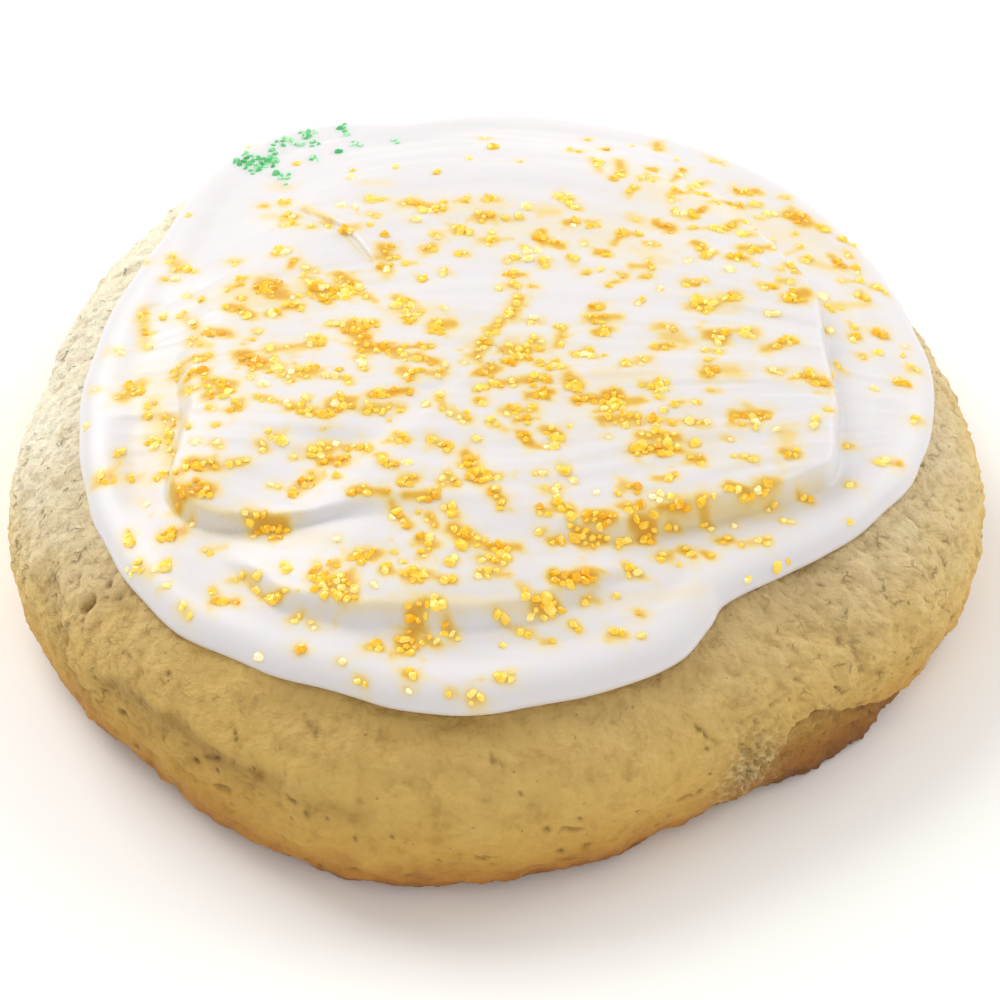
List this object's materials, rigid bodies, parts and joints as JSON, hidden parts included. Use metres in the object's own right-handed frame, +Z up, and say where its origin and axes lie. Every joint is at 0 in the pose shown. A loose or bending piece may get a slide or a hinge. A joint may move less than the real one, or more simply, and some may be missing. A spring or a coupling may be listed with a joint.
{
  "type": "iced sugar cookie",
  "caption": "Soft round sugar cookie with a flat base and rounded wall, white icing spread over its top, and coarse yellow and green sugar on the icing.",
  "frame": {"origin": "on the flat base, under the middle of the cookie's length and width", "axes": "+Z up out of the iced top, -Y towards the side where the icing's lower tier lies, +X to the right of it"},
  "size_m": [0.089, 0.0926, 0.0234],
  "materials": {
    "biscuit": "matt baked crumb, pale on the shoulder, golden on the wall, browned at the foot",
    "icing": "soft white icing with a satin sheen",
    "yellow_sugar": "clear coarse sugar dyed amber and yellow",
    "green_sugar": "clear coarse sugar dyed green"
  },
  "bodies": {
    "root": {"biscuit": "biscuit", "icing": "icing"}
  },
  "joints": []
}
